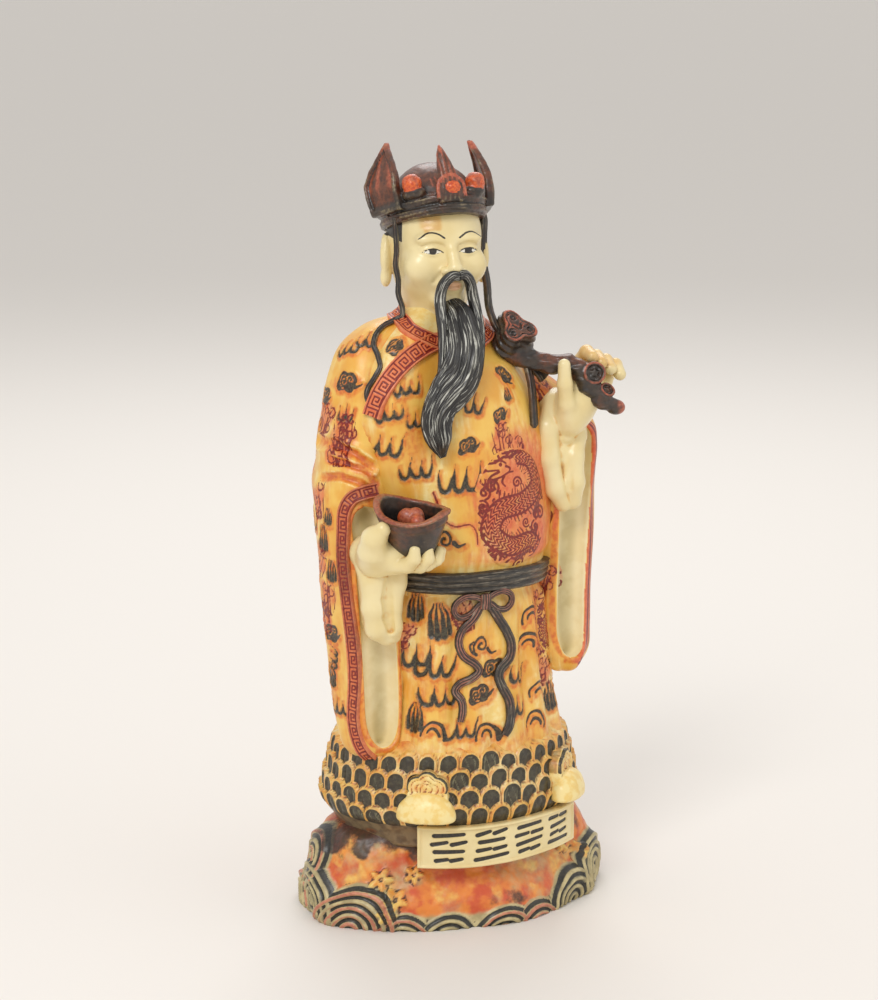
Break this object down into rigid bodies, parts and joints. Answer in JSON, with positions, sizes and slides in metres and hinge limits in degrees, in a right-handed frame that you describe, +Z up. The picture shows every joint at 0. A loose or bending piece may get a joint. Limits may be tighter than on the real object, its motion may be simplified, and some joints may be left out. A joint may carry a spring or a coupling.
{
  "type": "caishen figure",
  "caption": "Standing cast figure of a crowned, bearded official with an ingot bowl and a sceptre, on a wave plinth with a plaque.",
  "frame": {"origin": "middle of the flat underside", "axes": "+Z up, the figure faces -Y, its right hand is on the -X side"},
  "size_m": [0.1262, 0.094, 0.3],
  "materials": {
    "painted_resin": "cast resin in ivory cream, washed with orange, red and charcoal paint, satin gloss"
  },
  "bodies": {
    "root": {"caishen_figure": "painted_resin"}
  },
  "joints": []
}
